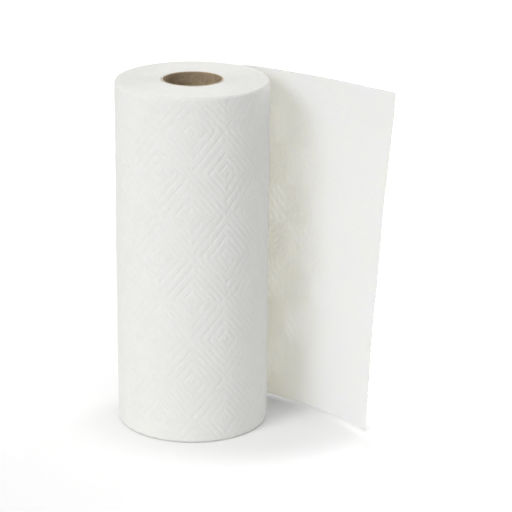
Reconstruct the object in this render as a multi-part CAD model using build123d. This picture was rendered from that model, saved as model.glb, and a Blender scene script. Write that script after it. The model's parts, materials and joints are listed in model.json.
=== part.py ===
from build123d import *
import math
import os

# A roll of paper towel standing on one end, with the last turn partly unrolled.
# Sizes are in millimetres and angles in degrees. The axis is +Z, from the end it stands on.
# Angles go round from +X towards +Y; the paper is wound clockwise, seen from above.

# The cardboard core
core_bore_diameter = 45.8
core_wall = 1.0

# The wound paper
sheet_width = 279.4
roll_diameter = 121.0
web_thickness = 0.7
rim_round = 3.0
rim_steps = 3

# The edges of the turns, seen on both ends of the roll
turn_spacing = 4.4
turn_line_width = 1.0
turn_line_depth = 0.7

# The loose sheet leaves the roll at the back and comes forward on the right
root_angle = 100.0
root_run = 42.0
loose_run = 150.0
tear_lean = 11.5
foot_lift = 1.8

# Bend radii of the loose sheet: in the root, beside the roll, and out to the free edge
top_bends = (69.0, 228.0, 555.0)
foot_bends = (88.0, 110.0, 274.0)
top_near_run = 43.0
foot_near_run = 35.0

# The row of slits where the next sheet tears off
sheet_length = 280.0
slit_length = 7.5
slit_bond = 2.5
slit_width = 0.5
slit_depth = 0.5

# Sizes that follow from the ones above
roll_radius = roll_diameter / 2
core_radius = core_bore_diameter / 2 + core_wall
flat_radius = roll_radius - rim_round
root_radius = flat_radius - web_thickness / 2


def direction(angle):
    """Unit vector in plan at an angle round the axis."""
    return Vector(math.cos(math.radians(angle)), math.sin(math.radians(angle)), 0)


def ring(outer_radius, inner_radius, height):
    """A plain ring standing on the ground plane."""
    outline = Circle(outer_radius) - Circle(inner_radius)
    return extrude(outline, height)


def core_tube():
    """The cardboard tube that the paper is wound on, cut flush with it at both ends."""
    return ring(core_radius, core_bore_diameter / 2, sheet_width)


def rim(level, up):
    """Points of a rounded rim in the section, from the side of the roll round to its end.

    The corner of a circle is taken in equal steps, as the soft edges of the turns slope away.
    """
    points = []
    for step in range(rim_steps + 1):
        angle = math.radians(90 * step / rim_steps)
        across = flat_radius + rim_round * math.cos(angle)
        along = level - up * rim_round * (1 - math.sin(angle))
        points.append((across, along))
    return points


def wound_turns():
    """The turns pressed together into one ring round the core, with soft rims outside."""
    top = rim(sheet_width, 1)
    foot = rim(0, -1)
    inside = [(core_radius, sheet_width), (core_radius, 0)]
    section = make_face(Polyline(*top, *inside, *reversed(foot), close=True))
    return revolve(Plane.XZ * section, Axis.Z)


def sheet_side(level, bends, near_run, run, side):
    """One face of the loose sheet at a level, as tangent arcs that all bend clockwise.

    Side +1 is the face turned away from the roll and side -1 the face towards it.
    """
    offset = side * web_thickness / 2
    start = direction(root_angle) * (root_radius + offset) + Vector(0, 0, level)
    heading = direction(root_angle - 90)
    arcs = []
    for bend_radius, length in zip(bends, (root_run, near_run, run - near_run)):
        turn = math.degrees(length / bend_radius)
        arc = JernArc(start, heading, bend_radius + offset, -turn)
        arcs.append(arc)
        start = arc @ 1
        heading = arc % 1
    return arcs


def sheet_section(level, bends, near_run, run):
    """The closed outline of the loose sheet's thickness at a level."""
    outer = sheet_side(level, bends, near_run, run, 1)
    inner = sheet_side(level, bends, near_run, run, -1)
    root_line = Line(inner[0] @ 0, outer[0] @ 0)
    free_line = Line(outer[-1] @ 1, inner[-1] @ 1)
    return make_face(Wire(outer + inner + [root_line, free_line]))


def loose_sheet():
    """The part of the last turn that has come off the roll.

    Its top edge curls less than its foot, so the free edge leans outward towards the top.
    """
    foot = sheet_section(foot_lift, foot_bends, foot_near_run, loose_run - tear_lean / 2)
    top = sheet_section(sheet_width, top_bends, top_near_run, loose_run + tear_lean / 2)
    return loft([foot, top], ruled=True)


def turn_lines(level, up):
    """V-shaped lines between the turns on one end, to be cut from it.

    The spiral is a draughtsman's one, of half turns about two centres a quarter
    of the spacing either side of the axis, so each half turn is a plain revolve.
    The cutters reach as far out of the end as into it, where they are twice as wide.
    Up is +1 for the top end and -1 for the end that the roll stands on.
    """
    first_radius = flat_radius - web_thickness
    count = int((first_radius - core_radius - turn_line_width) / turn_spacing)
    centre = turn_spacing / 4
    halves = []
    for shift, drop, arc_start in ((centre, 0.25, 0), (-centre, 0.75, 180)):
        lines = Sketch()
        for turn in range(count):
            radius = first_radius - (turn + drop) * turn_spacing
            tip = (radius, level - up * turn_line_depth)
            inner = (radius - turn_line_width, level + up * turn_line_depth)
            outer = (radius + turn_line_width, level + up * turn_line_depth)
            lines += make_face(Polyline(tip, inner, outer, close=True))
        half_turn = revolve(Plane.XZ * lines, Axis.Z, 180)
        halves.append(Pos(shift, 0, 0) * Rot(0, 0, arc_start) * half_turn)
    return Rot(0, 0, root_angle) * (halves[0] + halves[1])


def tear_slits():
    """The row of slits, one sheet back from the free edge, through the outermost turn."""
    wound_length = sheet_length - loose_run
    slit_angle = root_angle + math.degrees((wound_length - root_run) / roll_radius)
    pitch = slit_length + slit_bond
    count = int((sheet_width - 2 * rim_round) / pitch)
    slit = Box(2 * slit_depth, slit_width, slit_length)
    place = Rot(0, 0, slit_angle) * Pos(roll_radius, 0, sheet_width / 2)
    return [place * Pos(0, 0, (i - (count - 1) / 2) * pitch) * slit for i in range(count)]


def towel_web():
    """The whole web of paper in one piece: wound turns, loose sheet, lines and slits."""
    web = wound_turns() + loose_sheet()
    web -= turn_lines(sheet_width, 1)
    web -= turn_lines(0, -1)
    web -= tear_slits()
    return web


os.makedirs("parts", exist_ok=True)
for name, shape in (("core_tube", core_tube()), ("towel_web", towel_web())):
    print(name, len(shape.solids()), "solid", round(shape.volume / 1000, 1), "cm3")
    export_step(shape, f"parts/{name}.step")
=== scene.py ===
import json
import math
import bpy
import numpy as np
from mathutils import Matrix, Vector


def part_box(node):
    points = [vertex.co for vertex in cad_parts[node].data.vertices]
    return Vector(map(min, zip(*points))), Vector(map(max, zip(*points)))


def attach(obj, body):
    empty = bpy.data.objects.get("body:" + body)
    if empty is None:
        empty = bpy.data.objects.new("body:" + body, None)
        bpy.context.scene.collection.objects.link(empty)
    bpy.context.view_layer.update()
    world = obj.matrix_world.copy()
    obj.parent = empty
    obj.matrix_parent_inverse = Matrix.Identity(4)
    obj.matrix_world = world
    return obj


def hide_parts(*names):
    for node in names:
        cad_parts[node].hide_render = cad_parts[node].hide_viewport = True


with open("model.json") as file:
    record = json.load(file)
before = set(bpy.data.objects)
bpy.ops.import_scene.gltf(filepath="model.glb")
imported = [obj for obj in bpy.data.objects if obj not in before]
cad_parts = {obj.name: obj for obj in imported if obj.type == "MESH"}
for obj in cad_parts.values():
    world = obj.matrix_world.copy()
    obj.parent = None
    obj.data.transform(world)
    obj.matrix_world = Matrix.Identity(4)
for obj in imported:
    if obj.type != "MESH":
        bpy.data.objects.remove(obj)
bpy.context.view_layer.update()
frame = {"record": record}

MM = 0.001

# Sizes taken from the frame, in metres: the standing roll, its tube and the tube's bore
web_low, web_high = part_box("towel_web")
tube_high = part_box("core_tube")[1]
mounts = {mount["name"]: mount for mount in frame["record"]["mounts"]}
ROLL_HEIGHT = web_high.z
ROLL_RADIUS = -web_low.x
TUBE_RADIUS = tube_high.x
BORE_RADIUS = mounts["core_bore"]["dims"]["r_mm"] * MM

# The web of paper: its thickness, the pitch of its turns, drawn coarser than real paper's so
# that they show, and the soft rims, which are worn flat
SHEET = 0.7 * MM
TURN = 0.9 * MM
RIM = 3.0 * MM
RIM_TURN = math.acos(1 - TURN / RIM)
RIM_ROWS = 5
RIM_WEAR = 0.8

# The loose sheet in plan: where it leaves the roll, and the bends of its top edge and its foot.
# It parts from the roll softly, and its columns even out towards the free edge.
ROOT_ANGLE = math.radians(100)
ROOT_RADIUS = ROLL_RADIUS - RIM - SHEET / 2
TOP_BENDS = (69 * MM, 228 * MM, 555 * MM)
TOP_RUNS = (42 * MM, 43 * MM, 112.75 * MM)
FOOT_BENDS = (88 * MM, 110 * MM, 274 * MM)
FOOT_RUNS = (42 * MM, 35 * MM, 109.25 * MM)
FOOT_LIFT = 1.8 * MM
LEAN_CURVE = 1.3
PARTING = 0.5 * MM
FREED = 2.5 * MM
EVENED_RUN = 70 * MM
FINE_INNER_START = 30 * MM

# Off the roll the sheet sways, and comes to its full sway some way out
SWAY = 0.5 * MM
SWAY_LENGTH = 75 * MM
SWAY_START = 5 * MM
SWAY_FULL = 60 * MM

# The embossed lattice of diamonds one inside another, seven to a turn. Its ridges are wide
# apart along one pair of a diamond's sides and close along the other, in shares of the
# distance from a diamond's centre to its side.
DIAMONDS_ROUND = 7
DIAMOND_HALF_WIDTH = math.pi * ROLL_RADIUS / DIAMONDS_ROUND
DIAMOND_HALF_HEIGHT = 33.3 * MM
DIAMOND_CENTRE = (-179.0 * MM, 185.7 * MM)
WIDE_PITCH = 0.275
WIDE_LEAD = 0.0625
CLOSE_PITCH = 0.2
DASH_PITCH = 0.16
DASH_SHARE = 0.7
VALLEY_POWER = 2.2
TOP_GROOVE = 0.5
CELLS = 25
RIDGE_HEIGHT = 0.62 * MM
DEEPEST = 0.62 * MM
BACK_RIDGE_HEIGHT = 0.06 * MM

# How hard it is pressed, and how much that varies over patches and over spots, as shares of
# the ridges' height, and the mottle that lies over it
EVEN_PRESS = 0.8
PATCH_PRESS = 0.12
PATCH_LENGTH = 38 * MM
SPOT_PRESS = 0.2
SPOT_LENGTH = 4.2 * MM
MOTTLE = 0.07 * MM
MOTTLE_LENGTH = 3.6 * MM

# The tear line, one sheet back from the free edge, as slits with bonds between them. At the
# free edge, which is torn along the same slits, tufts of fibres stand out at the bonds.
TEAR_LINE = -88 * MM
SLIT = 7.5 * MM
BOND = 2.5 * MM
SLIT_SIDE = 0.35 * MM
TUFT = 0.45 * MM
TUFT_LENGTH = 1.5 * MM
FRAY = 0.12 * MM
FRAY_LENGTH = 3 * MM

# The ends of the turns. Their unevenness is given as heights, lengths and steps of the seed.
ANGLE_STEPS = 256
TURN_CELLS = 4
TURNS_LEFT_PLAIN = 1.2
EDGE_PROFILE = (0.24 * MM, 0.05 * MM, 0.0, 0.05 * MM)
PROUD_TURN = 0.12 * MM
UNEVEN_ENDS = ((0.03 * MM, 6 * MM, 2), (0.04 * MM, 24 * MM, 4))

# The tube: one ply's seam winds round it
TUBE_RIM_SHARE = 0.3
BOARD_RIPPLE = 0.04 * MM
BOARD_RIPPLE_LENGTH = 14 * MM
SEAM_LEAD = 88 * MM
SEAM_START = math.pi
SEAM_DEPTH = 0.2 * MM
SEAM_WIDTH = 0.9 * MM
TUBE_STEPS = 240
TUBE_ROWS = 250

# The photographer's camera, found from the roll's outline in the photograph
PICTURE_WIDTH = 512
FOCAL_PIXELS = 2058.1
FILM_WIDTH = 36
CAMERA_PLACE = Vector((-3.4, -1544.5, 658.4)) * MM
CAMERA_DIP = math.radians(18.71)
CAMERA_TURN = math.radians(1.98)
CAMERA_ROLL = math.radians(0.5)

# Light: azimuth, elevation, strength and angular size of each lamp, and the even fill
LAMPS = (
    ("soft_key", 224, 27, 1.51, 26),
    ("side_fill", 342, 10, 0.4, 60),
    ("back_light", 42, 18, 0.85, 32),
    ("overhead", 250, 84, 0.96, 36),
)
FILL_LEVEL = 0.26

# The floor keeps its shadow round the roll and the loose sheet's foot. Further off in front,
# and sooner on the right and behind, a painted glow lifts it to white and washes out its shadow
FLOOR_MIDDLE = (40 * MM, -20 * MM, 0)
FLOOR_STRETCH = (1.0, 1.5, 1.0)
FLOOR_NEAR = 60 * MM
FLOOR_FAR = 150 * MM
FLOOR_RIGHT = (0.94, 0.34, 0)
RIGHT_NEAR = 95 * MM
RIGHT_FAR = 135 * MM
NEAR_LIFT = 0.12
FAR_LIFT = 0.32
RIGHT_LIFT = 0.6
FLOOR_REACH = 6.0


def linear(hex_colour):
    """An sRGB hex colour as linear red, green, blue and alpha."""
    parts = np.array([int(hex_colour[i:i + 2], 16) / 255 for i in (1, 3, 5)])
    dark, bright = parts / 12.92, ((parts + 0.055) / 1.055) ** 2.4
    return (*np.where(parts <= 0.04045, dark, bright), 1.0)


def smooth_step(x, start, end):
    """0 before start, 1 after end, and a smooth 3t^2 - 2t^3 rise between them."""
    t = np.clip((x - start) / (end - start), 0, 1)
    return t * t * (3 - 2 * t)


def waves(x, y, length, seed, count=14):
    """Gentle unevenness: sine waves of about one length, in seeded directions, added up."""
    draw = np.random.default_rng(seed)
    ways = draw.uniform(0, 2 * math.pi, count)
    phases = draw.uniform(0, 2 * math.pi, count)
    turns = 2 * math.pi / (length * draw.uniform(0.6, 1.6, count))
    total = np.zeros(np.broadcast(x, y).shape)
    for way, phase, turn in zip(ways, phases, turns):
        total += np.sin(turn * (x * math.cos(way) + y * math.sin(way)) + phase)
    return total / math.sqrt(count)


def surface_normals(points):
    """Unit normals of a grid: the cross product of its steps up and its steps along."""
    along = np.gradient(points, axis=0)
    up = np.gradient(points, axis=1)
    normal = np.cross(up, along)
    return normal / np.linalg.norm(normal, axis=2, keepdims=True)


def strip_faces(first, second):
    """Four-cornered faces between two rows of point numbers."""
    return np.stack([first[:-1], second[:-1], second[1:], first[1:]], -1)


def grid_faces(numbers):
    """Four-cornered faces of a grid of point numbers, turned out where up x along is outward."""
    corners = [numbers[:-1, :-1], numbers[:-1, 1:], numbers[1:, 1:], numbers[1:, :-1]]
    return np.stack(corners, -1).reshape(-1, 4)


def build_piece(name, points, smooth_faces, flat_faces, material, node, extras):
    """A closed mesh from points and lists of face arrays, riding on the roll.

    Extras are a point attribute's name and values, or the web map's two coordinates.
    """
    faces = [f.reshape(len(f), -1) for f in (*smooth_faces, *flat_faces)]
    corners = np.concatenate([f.ravel() for f in faces]).astype(np.int32)
    sizes = np.concatenate([np.full(len(f), f.shape[1]) for f in faces])
    starts = np.concatenate([[0], np.cumsum(sizes)[:-1]]).astype(np.int32)
    smooth_count = sum(len(f) for f in smooth_faces)
    mesh = bpy.data.meshes.new(name)
    mesh.vertices.add(len(points))
    mesh.vertices.foreach_set("co", points.astype(np.float32).ravel())
    mesh.loops.add(len(corners))
    mesh.loops.foreach_set("vertex_index", corners)
    mesh.polygons.add(len(sizes))
    mesh.polygons.foreach_set("loop_start", starts)
    mesh.polygons.foreach_set("use_smooth", np.arange(len(sizes)) < smooth_count)
    for key, values in extras.items():
        if values.ndim == 2:
            web_map = mesh.uv_layers.new(name=key)
            web_map.data.foreach_set("uv", values[corners].astype(np.float32).ravel())
        else:
            layer = mesh.attributes.new(key, "FLOAT", "POINT")
            layer.data.foreach_set("value", values.astype(np.float32))
    mesh.update(calc_edges=True)
    mesh.validate()
    mesh.materials.append(material)
    piece = bpy.data.objects.new(name, mesh)
    bpy.context.scene.collection.objects.link(piece)
    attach(piece, "root")
    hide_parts(node)
    return piece


def diamond_offsets(along, up):
    """How far a point is from its diamond's centre across each pair of its sides, -1 to 1.

    Along and up, in halves of a diamond, are added and subtracted, and each result is
    brought into -1 to 1 by whole steps of 2.
    """
    across = (along - DIAMOND_CENTRE[0]) / DIAMOND_HALF_WIDTH
    over = (up - DIAMOND_CENTRE[1]) / DIAMOND_HALF_HEIGHT
    return (across + over + 1) % 2 - 1, (across - over + 1) % 2 - 1


def emboss(along, up):
    """Height of the embossing, 0 in a valley and 1 on a ridge.

    The ridges run along whichever pair of a diamond's sides has the larger offset there. The
    wide ones go on at one pitch over the border, as a cosine of the offset from it, and have
    a shallow groove on top. The close ones are the same on both sides of the border, and a
    cosine along them breaks them into dashes. A power of each dip narrows the valleys.
    """
    rising, falling = diamond_offsets(along, up)
    wide = np.cos(2 * math.pi * (rising % 2 - 1 + WIDE_LEAD) / WIDE_PITCH)
    close = np.cos(2 * math.pi * (1 - abs(falling)) / CLOSE_PITCH)
    dashes = 1 - DASH_SHARE * (0.5 + 0.5 * np.cos(2 * math.pi * rising / DASH_PITCH + math.pi / 4))
    wide_dip = (0.5 - 0.5 * wide) ** VALLEY_POWER
    groove = TOP_GROOVE * (0.5 + 0.5 * wide) ** VALLEY_POWER
    close_dip = (0.5 - 0.5 * close) ** VALLEY_POWER
    return 1 - np.where(abs(rising) > abs(falling), wide_dip + groove, close_dip * dashes)


def web_rows():
    """Rows across the web: heights on the flat sheet, on the roll, and the rim's curl inward.

    The body's rows are the lattice's own, from half a step inside the rims. In the rims a
    row goes round an arc on the roll, z = RIM sin(turn) and inward = RIM (1 - cos(turn)), and
    lies flat on the loose sheet.
    """
    step = DIAMOND_HALF_HEIGHT / CELLS
    lowest = math.ceil((RIM - DIAMOND_CENTRE[1]) / step + 0.5)
    highest = math.floor((ROLL_HEIGHT - RIM - DIAMOND_CENTRE[1]) / step - 0.5)
    body = DIAMOND_CENTRE[1] + step * np.arange(lowest, highest + 1)
    share = np.linspace(0, 1, RIM_ROWS)
    turn = RIM_TURN * share
    curl = RIM * (1 - np.cos(turn))
    rise = RIM * np.sin(turn)
    flat = np.concatenate([RIM * (1 - share[::-1]), body, ROLL_HEIGHT - RIM * (1 - share)])
    rolled = np.concatenate([RIM - rise[::-1], body, ROLL_HEIGHT - RIM + rise])
    inward = np.concatenate([curl[::-1], 0 * body, curl])
    return flat, rolled, inward


def web_columns(start, end):
    """Places along the web from start to end, on the lattice, with a close one at each end.

    The lattice's own columns keep 0.3 of a step off the close ones.
    """
    step = DIAMOND_HALF_WIDTH / CELLS
    first = math.ceil((start + SLIT_SIDE - DIAMOND_CENTRE[0]) / step + 0.3)
    last = math.floor((end - SLIT_SIDE - DIAMOND_CENTRE[0]) / step - 0.3)
    body = DIAMOND_CENTRE[0] + step * np.arange(first, last + 1)
    return np.concatenate([[start, start + SLIT_SIDE], body, [end - SLIT_SIDE, end]])


def edge_path(distance, bends, runs):
    """Where a run along one edge of the loose sheet comes to in plan, on its outer face.

    Three arcs join in line, all bending clockwise. An arc of radius b that starts at
    heading h adds b (sin h - sin(h - d/b)) to x and b (cos(h - d/b) - cos h) to y. The
    face lies half a thickness to the left of the sheet's middle.
    """
    heading = ROOT_ANGLE - math.pi / 2
    x = ROOT_RADIUS * math.cos(ROOT_ANGLE) + 0 * distance
    y = ROOT_RADIUS * math.sin(ROOT_ANGLE) + 0 * distance
    facing = heading + 0 * distance
    gone = 0.0
    for bend, run in zip(bends, runs):
        part = np.clip(distance - gone, 0, run)
        ahead = heading - part / bend
        x = x + bend * (math.sin(heading) - np.sin(ahead))
        y = y + bend * (np.cos(ahead) - math.cos(heading))
        facing = facing - part / bend
        heading -= run / bend
        gone += run
    return x - SHEET / 2 * np.sin(facing), y + SHEET / 2 * np.cos(facing)


def loose_path(along, share):
    """The loose sheet in plan: straight lines up it join its foot to its top edge.

    Share is 0 at the foot and 1 at the top. The same part of each of the three arcs is
    gone at the foot, at the top and at the height between, so the lines are a ruled surface.
    """
    gone_foot, gone_top, gone = 0 * along, 0 * along, 0 * along
    for foot_run, top_run in zip(FOOT_RUNS, TOP_RUNS):
        run = foot_run + (top_run - foot_run) * share
        part = np.clip((along - gone) / run, 0, 1)
        gone_foot = gone_foot + part * foot_run
        gone_top = gone_top + part * top_run
        gone = gone + run
    foot_x, foot_y = edge_path(gone_foot, FOOT_BENDS, FOOT_RUNS)
    top_x, top_y = edge_path(gone_top, TOP_BENDS, TOP_RUNS)
    return foot_x + (top_x - foot_x) * share, foot_y + (top_y - foot_y) * share


def web_surface(along, rows):
    """The web's outer face, before it is embossed, from the roll out to the free edge.

    Wound, a point lies at a radius that falls by one turn's pitch each time round. Loose,
    it follows the path, and the two are joined by their smooth maximum,
    (a + b + sqrt((a - b)^2 + k^2)) / 2. Returns the points, how free each one is, from 0
    to 1, and the gap between the path and the roll.
    """
    flat, rolled, inward = rows
    share = (flat / ROLL_HEIGHT) ** LEAN_CURVE
    path_x, path_y = loose_path(np.maximum(along, 0), share)
    path_radius = np.hypot(path_x, path_y)
    angle = np.where(along > 0, np.arctan2(path_y, path_x), ROOT_ANGLE - along / ROLL_RADIUS)
    wound_radius = ROLL_RADIUS + TURN * (ROOT_ANGLE - angle) / (2 * math.pi)
    gap = path_radius - wound_radius
    radius = (path_radius + wound_radius + np.sqrt(gap**2 + PARTING**2)) / 2
    free = smooth_step(gap, 0, FREED)
    radius = radius - inward * (1 - free)
    lifted = FOOT_LIFT + flat * (1 - FOOT_LIFT / ROLL_HEIGHT)
    height = rolled + free * (lifted - rolled)
    points = np.stack([radius * np.cos(angle), radius * np.sin(angle), height], -1)
    return points, free, gap


def web_relief(along, up, curl):
    """Depth of the outer face below its ridges, with the unevenness of real embossing.

    It is pressed harder in some places than in others, but never through the sheet, and
    fades in the rims, which are worn flat, in proportion to the rim's curl.
    """
    pressed = EVEN_PRESS + PATCH_PRESS * waves(along, up, PATCH_LENGTH, seed=3)
    pressed = pressed + SPOT_PRESS * waves(along, up, SPOT_LENGTH, seed=6, count=24)
    mottle = MOTTLE * waves(along, up, MOTTLE_LENGTH, seed=4, count=24)
    relief = RIDGE_HEIGHT * pressed * (1 - emboss(along, up)) + mottle
    return np.minimum(relief, DEEPEST) * (1 - RIM_WEAR * curl / TURN)


def in_slit(up):
    """1 where the tear line is cut and 0 at a bond, for heights up the web."""
    pitch = SLIT + BOND
    place = (up - ROLL_HEIGHT / 2 + pitch / 2) % pitch
    return (abs(place - pitch / 2) < SLIT / 2).astype(float)


def web_triangles(numbers, along, up):
    """Triangles of a grid, each pair divided along the ridges that cross it."""
    a, b, c, d = numbers[:-1, :-1], numbers[:-1, 1:], numbers[1:, 1:], numbers[1:, :-1]
    middle_along = (along[:-1, :-1] + along[1:, 1:]) / 2
    middle_up = (up[:-1, :-1] + up[1:, 1:]) / 2
    rising, falling = diamond_offsets(middle_along, middle_up)
    downhill = (abs(rising) > abs(falling))[..., None]
    first = np.where(downhill, np.stack([a, b, d], -1), np.stack([a, b, c], -1))
    second = np.where(downhill, np.stack([b, c, d], -1), np.stack([a, c, d], -1))
    return np.concatenate([first.reshape(-1, 3), second.reshape(-1, 3)])


def build_outer_turn(material):
    """The turn under the first sheet, one time round less the part that the sheet covers.

    Its outer face is embossed and its hidden inner face is plain, with one tall face a column.
    """
    rows = web_rows()
    columns = web_columns(-2 * math.pi * ROLL_RADIUS, TEAR_LINE)
    along, up = np.meshgrid(columns, rows[0], indexing="ij")
    face, free, _ = web_surface(along, rows)
    normal = surface_normals(face)
    relief = web_relief(along, up, rows[2])
    relief[-1] = np.maximum(relief[-1], DEEPEST * in_slit(up[-1]))
    outer = face - normal * relief[..., None]
    inner = (face - normal * SHEET)[:, [0, -1]]
    return web_piece("outer_turn", along, up, free, outer, inner, None, material)


def web_piece(name, along, up, free, outer, hidden, inner, material):
    """One length of the web as a closed solid.

    The outer face is a fine grid. The hidden face has two points a column, and is as
    long as the outer face, or goes as far as the fine inner face, where there is one.
    Its attribute "loose" is 0 where it lies on the roll and 1 where it stands free.
    """
    columns, rows = outer.shape[:2]
    split = len(hidden)
    outer_numbers = np.arange(columns * rows).reshape(columns, rows)
    hidden_numbers = outer_numbers.size + np.arange(2 * split).reshape(split, 2)
    points = [outer.reshape(-1, 3), hidden.reshape(-1, 3)]
    smooth = [web_triangles(outer_numbers, along, up)]
    foot, top = hidden_numbers[:, 0], hidden_numbers[:, 1]
    flat_map = np.stack([along, up], -1)
    maps = [flat_map.reshape(-1, 2), flat_map[:split, [0, -1]].reshape(-1, 2)]
    loose = [free.ravel(), free[:split, [0, -1]].ravel()]
    smooth.append(strip_faces(top, foot))
    if inner is None:
        free_end = np.concatenate([outer_numbers[-1], [top[-1], foot[-1]]])
        flat = [free_end[None]]
    else:
        inner_numbers = outer_numbers.size + 2 * split + np.arange(inner[..., 0].size)
        inner_numbers = inner_numbers.reshape(inner.shape[:2])
        points.append(inner.reshape(-1, 3))
        maps.append(flat_map[split:].reshape(-1, 2))
        loose.append(free[split:].ravel())
        smooth.append(web_triangles(inner_numbers, along[split:], up[split:])[:, ::-1])
        joint = np.concatenate([[top[-1], foot[-1]], inner_numbers[0]])
        flat = [joint[None], strip_faces(inner_numbers[-1], outer_numbers[-1])]
        foot = np.concatenate([foot, inner_numbers[:, 0]])
        top = np.concatenate([top, inner_numbers[:, -1]])
    flat.append(strip_faces(foot, outer_numbers[:, 0]))
    flat.append(strip_faces(outer_numbers[:, -1], top))
    near_end = np.concatenate([outer_numbers[0][::-1], hidden_numbers[0]])
    flat.append(near_end[None])
    extras = {"web": np.concatenate(maps), "loose": np.concatenate(loose)}
    points = np.concatenate(points)
    return build_piece(name, points, smooth, flat, material, "towel_web", extras)


def build_first_sheet(material):
    """The first sheet: round the back of the roll from the tear line, then loose.

    Off the roll it sways a little, its inner face shows the embossing faintly, and its
    free edge is torn, with a tuft of fibres at each bond.
    """
    rows = web_rows()
    share = (rows[0] / ROLL_HEIGHT) ** LEAN_CURVE
    reach = sum(FOOT_RUNS) + (sum(TOP_RUNS) - sum(FOOT_RUNS)) * share
    middle = (sum(FOOT_RUNS) + sum(TOP_RUNS)) / 2
    columns = web_columns(TEAR_LINE, middle)
    along, up = np.meshgrid(columns, rows[0], indexing="ij")
    torn = TUFT * (1 - in_slit(up)) * (0.6 + 0.4 * waves(up, 0 * up, TUFT_LENGTH, seed=8))
    torn = torn + FRAY * waves(up, 0 * up, FRAY_LENGTH, seed=9)
    place = along + (reach - middle) * smooth_step(along, middle - EVENED_RUN, middle)
    place = place + torn * smooth_step(along, middle - SLIT_SIDE, middle)
    face, free, gap = web_surface(place, rows)
    normal = surface_normals(face)
    sway = SWAY * waves(along, up, SWAY_LENGTH, seed=5) * smooth_step(gap, SWAY_START, SWAY_FULL)
    face = face + normal * sway[..., None]
    relief = web_relief(along, up, rows[2])
    relief[0] = np.maximum(relief[0], DEEPEST * in_slit(up[0]))
    outer = face - normal * relief[..., None]
    back = SHEET + BACK_RIDGE_HEIGHT * (relief / RIDGE_HEIGHT - 0.5) * free
    inner = face - normal * back[..., None]
    split = int(np.searchsorted(columns, FINE_INNER_START))
    hidden = inner[:split, [0, -1]]
    return web_piece("first_sheet", along, up, free, outer, hidden, inner[split:], material)


def ribbon_number(step, cell, last):
    """Number of a point on the ribbon: past a turn's last cell is the first of the next."""
    step = step + cell // TURN_CELLS * ANGLE_STEPS
    cell = cell % TURN_CELLS
    inside = TURN_CELLS * step + cell
    return np.where(step <= last, inside, TURN_CELLS * (last + 1) + step - last - 1)


def build_inner_turns(material):
    """All the turns under the outer one, as one ring with the spiral of edges on both ends.

    An end is a ribbon that goes round and round inward. A point at step k and cell i lies
    at radius start - TURN (k / steps + i / cells). It follows the rim's arc, each turn's
    edge is a low crest between two valleys, and some turns stand a little prouder.
    """
    start = ROLL_RADIUS - TURN
    turns = int((start - TUBE_RADIUS) / TURN - TURNS_LEFT_PLAIN)
    last = turns * ANGLE_STEPS
    whole = np.arange(last + 1)
    rest = np.arange(last + 1, last + ANGLE_STEPS + 1)
    step = np.concatenate([np.repeat(whole, TURN_CELLS), rest])
    cell = np.concatenate([np.tile(np.arange(TURN_CELLS), last + 1), 0 * rest])
    angle = ROOT_ANGLE + 2 * math.pi * step / ANGLE_STEPS
    radius = start - TURN * (step / ANGLE_STEPS + cell / TURN_CELLS)
    rim_angle = ROOT_ANGLE + 2 * math.pi * np.arange(ANGLE_STEPS) / ANGLE_STEPS
    angle = np.concatenate([angle, rim_angle])
    radius = np.concatenate([radius, np.full(ANGLE_STEPS, TUBE_RADIUS)])
    x, y = radius * np.cos(angle), radius * np.sin(angle)
    past = np.clip(radius - (ROLL_RADIUS - RIM), 0, RIM)
    valley = np.concatenate([np.array(EDGE_PROFILE)[cell], np.full(ANGLE_STEPS, EDGE_PROFILE[0])])
    winding = np.concatenate([step / ANGLE_STEPS, np.full(ANGLE_STEPS, turns + 1.0)])
    ends, depths = [], []
    for up, seed in ((1, 21), (-1, 22)):
        proud = np.random.default_rng(seed).uniform(0, PROUD_TURN, turns + 3)
        depth = valley + np.interp(winding, np.arange(turns + 3), proud)
        for rise, length, seed_step in UNEVEN_ENDS:
            depth += rise * (1 + waves(x, y, length, seed=seed + seed_step))
        depth = np.maximum(depth, 0)
        level = RIM - np.sqrt(RIM**2 - past**2) + depth
        ends.append(np.stack([x, y, ROLL_HEIGHT - level if up > 0 else level], -1))
        depths.append(depth)
    k, i = np.arange(last)[:, None], np.arange(TURN_CELLS)[None]
    corners = [(k, i), (k + 1, i), (k + 1, i + 1), (k, i + 1)]
    ribbon = np.stack([ribbon_number(*c, last) for c in corners], -1).reshape(-1, 4)
    rim = ribbon_number(np.arange(ANGLE_STEPS + 1), 0, last)
    inmost = ribbon_number(last + np.arange(ANGLE_STEPS + 1), 0, last)
    tube = inmost[-1] + 1 + np.arange(ANGLE_STEPS + 1) % ANGLE_STEPS
    margin = strip_faces(tube, inmost)[:, [1, 2, 3, 0]]
    last_edge = ribbon_number(last, np.arange(TURN_CELLS, 0, -1), last)
    notch = np.concatenate([[inmost[0], inmost[1], tube[1], tube[0]], last_edge])
    foot = len(x)
    smooth = [ribbon, margin[1:], ribbon[:, ::-1] + foot, margin[1:, ::-1] + foot]
    smooth += [notch[None], notch[None, ::-1] + foot]
    step_edge = ribbon_number(0, np.arange(TURN_CELLS + 1), last)
    step_wall = np.concatenate([step_edge[::-1] + foot, step_edge])
    walls = [strip_faces(rim + foot, rim)[:, ::-1], strip_faces(tube + foot, tube)]
    extras = {"depth": np.concatenate(depths) / MM}
    points = np.concatenate(ends)
    walls.append(step_wall[None])
    return build_piece(
        "inner_turns", points, smooth, walls, material, "towel_web", extras
    )


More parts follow.
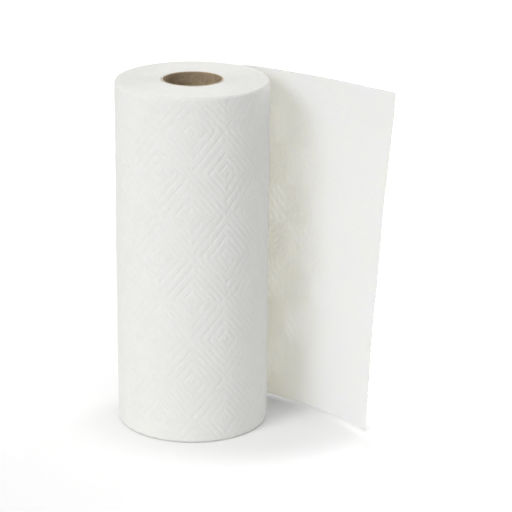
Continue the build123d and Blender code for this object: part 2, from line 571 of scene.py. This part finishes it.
def build_tube(material):
    """The tube of wound board: a ring with rounded rims, and the seam of its inner ply.

    The seam is a helix. A point's distance from it is its height less the lead for its
    angle, brought to within half a lead, times the cosine of the helix's slope, and the
    groove's depth falls with that distance as exp(-d^2).
    """
    soft = (TUBE_RADIUS - BORE_RADIUS) * TUBE_RIM_SHARE
    bore = np.linspace(soft, ROLL_HEIGHT - soft, TUBE_ROWS)
    across = [np.full(TUBE_ROWS, BORE_RADIUS), [BORE_RADIUS + soft, TUBE_RADIUS - soft]]
    across += [[TUBE_RADIUS] * 2, [TUBE_RADIUS - soft, BORE_RADIUS + soft]]
    along = [bore, [ROLL_HEIGHT] * 2, [ROLL_HEIGHT - soft, soft], [0, 0]]
    radius, height = np.concatenate(across)[None], np.concatenate(along)[None]
    angle = 2 * math.pi * np.arange(TUBE_STEPS)[:, None] / TUBE_STEPS
    slope = math.atan(SEAM_LEAD / (2 * math.pi * BORE_RADIUS))
    away = height / SEAM_LEAD - (angle - SEAM_START) / (2 * math.pi)
    away = ((away + 0.5) % 1 - 0.5) * SEAM_LEAD * math.cos(slope)
    groove = np.exp(-((away / SEAM_WIDTH) ** 2)) * (radius < BORE_RADIUS + soft / 2)
    ripple = BOARD_RIPPLE * waves(angle * BORE_RADIUS, height, BOARD_RIPPLE_LENGTH, seed=31)
    radius = radius + SEAM_DEPTH * groove + ripple * (radius < TUBE_RADIUS - soft)
    points = np.stack(
        [radius * np.cos(angle), radius * np.sin(angle), height + 0 * angle], -1
    )
    numbers = np.arange(groove.size).reshape(groove.shape)
    faces = grid_faces(np.pad(numbers, ((0, 1), (0, 1)), mode="wrap"))
    ends = (height <= soft / 2) | (height >= ROLL_HEIGHT - soft / 2)
    extras = {"seam": groove.ravel(), "cut": (ends + 0.0 * angle).ravel()}
    points = points.reshape(-1, 3)
    return build_piece(
        "board_tube", points, [faces], [], material, "core_tube", extras
    )


def add_node(tree, kind, inputs=(), **settings):
    """Adds a node, sets it, and fills its sockets with values or links them to other sockets."""
    made = tree.nodes.new("ShaderNode" + kind)
    for key, value in settings.items():
        setattr(made, key, value)
    for key, value in dict(inputs).items():
        if isinstance(value, bpy.types.NodeSocket):
            tree.links.new(value, made.inputs[key])
        else:
            made.inputs[key].default_value = value
    return made


def new_material(name):
    """An empty node material and its tree."""
    material = bpy.data.materials.new(name)
    material.use_nodes = True
    material.node_tree.nodes.clear()
    return material, material.node_tree


def per_mm(length):
    """Scale of a pattern whose features are so many millimetres apart."""
    return 1 / (length * MM)


def embossed_tissue():
    """Two-ply tissue, creped off its drying cylinder and embossed between steel rolls.

    To the eye it is a soft, matt, slightly warm white, with faint clouds where the fibres
    lie thicker and short fibres and puckers that catch the light. Light passes through
    the loose sheet, and comes back from the turns behind where the sheet lies on the roll.
    The loose sheet is painted greyer, a painted shade for the less light that one sheet alone
    sends back. The crepe's lines are drawn 1.1 mm apart, coarser than real ones, so that they
    show.
    """
    material, tree = new_material("embossed_tissue")
    place = add_node(tree, "TexCoord").outputs["Object"]
    web = add_node(tree, "UVMap", uv_map="web").outputs["UV"]
    loose = add_node(tree, "Attribute", attribute_name="loose")
    passing = add_node(
        tree, "MapRange", {"Value": loose.outputs["Fac"], "To Min": 0.12, "To Max": 1.0}
    )
    clouds = add_node(tree, "TexNoise", {"Vector": place, "Scale": per_mm(9), "Detail": 3.0})
    puckers = add_node(
        tree, "TexNoise", {"Vector": web, "Scale": per_mm(2.4), "Detail": 3.0, "Roughness": 0.6}
    )
    crepe_scale = (per_mm(1.1), per_mm(9), 1)
    crepe_place = add_node(tree, "Mapping", {"Vector": web, "Scale": crepe_scale})
    crepe = add_node(
        tree, "TexNoise", {"Vector": crepe_place.outputs[0], "Scale": 1.0, "Detail": 2.0}
    )
    fine = add_node(
        tree, "Bump", {"Height": crepe.outputs["Fac"], "Strength": 0.5, "Distance": 0.09 * MM}
    )
    flatter = add_node(
        tree, "MapRange", {"Value": loose.outputs["Fac"], "To Min": 0.8, "To Max": 0.2}
    )
    bump = add_node(
        tree, "Bump",
        {"Height": puckers.outputs["Fac"], "Strength": flatter.outputs[0], "Distance": 0.4 * MM,
         "Normal": fine.outputs[0]},
    )
    wound = add_node(
        tree, "Mix",
        {"Factor": clouds.outputs["Fac"], "A": linear("#F4F4F0"), "B": linear("#EEEEE9")},
        data_type="RGBA",
    )
    # Painted shade: the loose sheet's colour is greyer than the wound turns' colour
    colour = add_node(
        tree, "Mix",
        {"Factor": loose.outputs["Fac"], "A": wound.outputs["Result"], "B": linear("#DCDCDA")},
        data_type="RGBA",
    )
    return finish_material(
        material, tree, colour.outputs["Result"], bump.outputs[0],
        {"Roughness": 0.9, "Specular IOR Level": 0.25, "Subsurface Weight": passing.outputs[0],
         "Subsurface Radius": (1.0, 0.93, 0.6), "Subsurface Scale": 6.0 * MM},
    )


def finish_material(material, tree, colour, normal, settings):
    """Ends a material in one Principled shader with a colour, a normal and its other settings."""
    inputs = {"Base Color": colour, "Normal": normal, **settings}
    shader = add_node(tree, "BsdfPrincipled", inputs)
    add_node(tree, "OutputMaterial", {"Surface": shader.outputs[0]})
    return material


def slit_tissue_edges():
    """The same tissue, seen on the ends of the roll where a knife slit the wound web.

    To the eye it is as white as the sheet on the crests, with lint on it. Between the turns
    its colour is painted darker, as painted shade in the grooves.
    """
    material, tree = new_material("slit_tissue_edges")
    place = add_node(tree, "TexCoord").outputs["Object"]
    depth = add_node(tree, "Attribute", attribute_name="depth")
    lint = add_node(tree, "TexNoise", {"Vector": place, "Scale": per_mm(1.2), "Detail": 4.0})
    bump = add_node(
        tree, "Bump", {"Height": lint.outputs["Fac"], "Strength": 0.6, "Distance": 0.08 * MM}
    )
    # Painted shade: the deeper between the turns, the darker the colour
    dull = add_node(tree, "MapRange", {"Value": depth.outputs["Fac"], "From Max": 0.6})
    colour = add_node(
        tree, "Mix",
        {"Factor": dull.outputs[0], "A": linear("#F6F6F3"), "B": linear("#EBEAE5")},
        data_type="RGBA",
    )
    return finish_material(
        material, tree, colour.outputs["Result"], bump.outputs[0],
        {"Roughness": 0.95, "Specular IOR Level": 0.2, "Subsurface Weight": 0.25,
         "Subsurface Radius": (1.0, 0.96, 0.9), "Subsurface Scale": 1.2 * MM},
    )


def wound_kraft_board():
    """Recycled kraft board, its plies glued and wound in a spiral on a mandrel.

    To the eye it is a dull mid brown, streaked with paler and darker fibres that run round
    with the winding, darker in the seam where the glue has soaked in, and paler on the cut
    ends, where the saw has raised the fibres.
    """
    material, tree = new_material("wound_kraft_board")
    place = add_node(tree, "TexCoord").outputs["Object"]
    seam = add_node(tree, "Attribute", attribute_name="seam")
    cut = add_node(tree, "Attribute", attribute_name="cut")
    clouds = add_node(tree, "TexNoise", {"Vector": place, "Scale": per_mm(7), "Detail": 4.0})
    fibre_scale = (per_mm(2.2), per_mm(2.2), per_mm(0.7))
    fibre_place = add_node(tree, "Mapping", {"Vector": place, "Scale": fibre_scale})
    fibres = add_node(
        tree, "TexNoise", {"Vector": fibre_place.outputs[0], "Scale": 1.0, "Detail": 4.0}
    )
    flecks = add_node(
        tree, "Math", {0: clouds.outputs["Fac"], 1: fibres.outputs["Fac"]}, operation="MULTIPLY"
    )
    spread = add_node(
        tree, "MapRange", {"Value": flecks.outputs[0], "From Min": 0.15, "From Max": 0.38}
    )
    board = add_node(
        tree, "Mix",
        {"Factor": spread.outputs[0], "A": linear("#9E8D74"), "B": linear("#BBA88E")},
        data_type="RGBA",
    )
    glued = add_node(
        tree, "Mix",
        {"Factor": seam.outputs["Fac"], "A": board.outputs["Result"], "B": linear("#8A745C")},
        data_type="RGBA",
    )
    colour = add_node(
        tree, "Mix",
        {"Factor": cut.outputs["Fac"], "A": glued.outputs["Result"], "B": linear("#E6DBC8")},
        data_type="RGBA",
    )
    bump = add_node(
        tree, "Bump", {"Height": fibres.outputs["Fac"], "Strength": 0.6, "Distance": 0.06 * MM}
    )
    return finish_material(
        material, tree, colour.outputs["Result"], bump.outputs[0],
        {"Roughness": 0.75, "Specular IOR Level": 0.35},
    )


def seen_directly(tree):
    """1 for a ray from the camera or one that a gloss or a glass sends on, 0 for all others."""
    path = add_node(tree, "LightPath").outputs
    gloss = add_node(
        tree, "Math", {0: path["Is Camera Ray"], 1: path["Is Glossy Ray"]}, operation="MAXIMUM"
    )
    glass = add_node(
        tree, "Math", {0: gloss.outputs[0], 1: path["Is Transmission Ray"]}, operation="MAXIMUM"
    )
    return glass.outputs[0]


def surround_in_white():
    """An even, weak fill of light all round, which is seen as plain white."""
    world = bpy.data.worlds.new("white_surround")
    world.use_nodes = True
    tree = world.node_tree
    tree.nodes.clear()
    lit = add_node(tree, "Background", {"Color": linear("#FFFFFF"), "Strength": FILL_LEVEL})
    white = add_node(tree, "Background", {"Color": linear("#FFFFFF"), "Strength": 1.0})
    mixed = add_node(
        tree, "MixShader", {0: seen_directly(tree), 1: lit.outputs[0], 2: white.outputs[0]}
    )
    add_node(tree, "OutputWorld", {"Surface": mixed.outputs[0]})
    bpy.context.scene.world = world


def white_paper_sweep():
    """Matt white background paper that keeps the roll's shadow.

    It is seen a shade darker than the white it bounces. A glow of painted light lifts it by
    where it lies, only where it is seen and never by more light on the object, and washes
    out its cast shadow further off, and soonest on the right and behind.
    """
    material, tree = new_material("white_paper_sweep")
    seen = seen_directly(tree)
    shade = add_node(
        tree, "Mix",
        {"Factor": seen, "A": linear("#F4F4F4"), "B": linear("#E2E2E2")},
        data_type="RGBA",
    )
    matt = add_node(tree, "BsdfDiffuse", {"Color": shade.outputs["Result"]})
    place = add_node(tree, "TexCoord").outputs["Object"]
    from_middle = add_node(tree, "VectorMath", {0: place, 1: FLOOR_MIDDLE}, operation="SUBTRACT")
    stretched = add_node(
        tree, "VectorMath", {0: from_middle.outputs[0], 1: FLOOR_STRETCH}, operation="MULTIPLY"
    )
    away = add_node(tree, "VectorMath", {0: stretched.outputs[0]}, operation="LENGTH")
    aside = add_node(tree, "VectorMath", {0: place, 1: FLOOR_RIGHT}, operation="DOT_PRODUCT")
    around = add_node(
        tree, "MapRange",
        {"Value": away.outputs["Value"], "From Min": FLOOR_NEAR, "From Max": FLOOR_FAR,
         "To Min": NEAR_LIFT, "To Max": FAR_LIFT},
        interpolation_type="SMOOTHSTEP",
    )
    right = add_node(
        tree, "MapRange",
        {"Value": aside.outputs["Value"], "From Min": RIGHT_NEAR, "From Max": RIGHT_FAR,
         "To Min": NEAR_LIFT, "To Max": RIGHT_LIFT},
        interpolation_type="SMOOTHSTEP",
    )
    whitened = add_node(
        tree, "Math", {0: around.outputs[0], 1: right.outputs[0]}, operation="MAXIMUM"
    )
    # Painted light: a glow that only the camera sees whitens the floor by where it lies
    lift = add_node(tree, "Math", {0: seen, 1: whitened.outputs[0]}, operation="MULTIPLY")
    glow = add_node(
        tree, "Emission", {"Color": linear("#FFFFFF"), "Strength": lift.outputs[0]}
    )
    both = add_node(tree, "AddShader", {0: matt.outputs[0], 1: glow.outputs[0]})
    add_node(tree, "OutputMaterial", {"Surface": both.outputs[0]})
    return material


def lay_floor(material):
    """One large square of floor, level with the end that the roll stands on."""
    mesh = bpy.data.meshes.new("floor")
    corners = [(-1, -1, 0), (1, -1, 0), (1, 1, 0), (-1, 1, 0)]
    points = [(FLOOR_REACH * x, FLOOR_REACH * y, z) for x, y, z in corners]
    mesh.from_pydata(points, [], [(0, 1, 2, 3)])
    mesh.materials.append(material)
    floor = bpy.data.objects.new("floor", mesh)
    bpy.context.scene.collection.objects.link(floor)


def hang_lamps():
    """Four broad lamps: the key on the front left, and weaker ones right, behind and overhead."""
    for name, azimuth, elevation, strength, size in LAMPS:
        lamp = bpy.data.lights.new(name, "SUN")
        lamp.energy = strength
        lamp.angle = math.radians(size)
        holder = bpy.data.objects.new(name, lamp)
        way = Vector((
            math.cos(math.radians(azimuth)) * math.cos(math.radians(elevation)),
            math.sin(math.radians(azimuth)) * math.cos(math.radians(elevation)),
            math.sin(math.radians(elevation)),
        ))
        holder.rotation_euler = way.to_track_quat("Z", "Y").to_euler()
        bpy.context.scene.collection.objects.link(holder)


def place_camera():
    """The camera where the photographer's stood, looking down on the roll and a little right.

    Its axes are worked out from the direction it looks in, and then rolled about it.
    """
    forward = Vector((
        math.sin(CAMERA_TURN) * math.cos(CAMERA_DIP),
        math.cos(CAMERA_TURN) * math.cos(CAMERA_DIP),
        -math.sin(CAMERA_DIP),
    ))
    level = Vector((math.cos(CAMERA_TURN), -math.sin(CAMERA_TURN), 0))
    upright = level.cross(forward)
    right = level * math.cos(CAMERA_ROLL) + upright * math.sin(CAMERA_ROLL)
    up = upright * math.cos(CAMERA_ROLL) - level * math.sin(CAMERA_ROLL)
    lens = bpy.data.cameras.new("camera")
    lens.sensor_width = FILM_WIDTH
    lens.lens = FOCAL_PIXELS * FILM_WIDTH / PICTURE_WIDTH
    lens.clip_start = 0.05
    lens.clip_end = 50
    camera = bpy.data.objects.new("camera", lens)
    turned = Matrix((right, up, -forward)).transposed().to_4x4()
    camera.matrix_world = Matrix.Translation(CAMERA_PLACE) @ turned
    bpy.context.scene.collection.objects.link(camera)
    bpy.context.scene.camera = camera


bpy.context.scene.view_settings.view_transform = "Standard"
tissue = embossed_tissue()
build_outer_turn(tissue)
build_first_sheet(tissue)
build_inner_turns(slit_tissue_edges())
build_tube(wound_kraft_board())
surround_in_white()
lay_floor(white_paper_sweep())
hang_lamps()
place_camera()
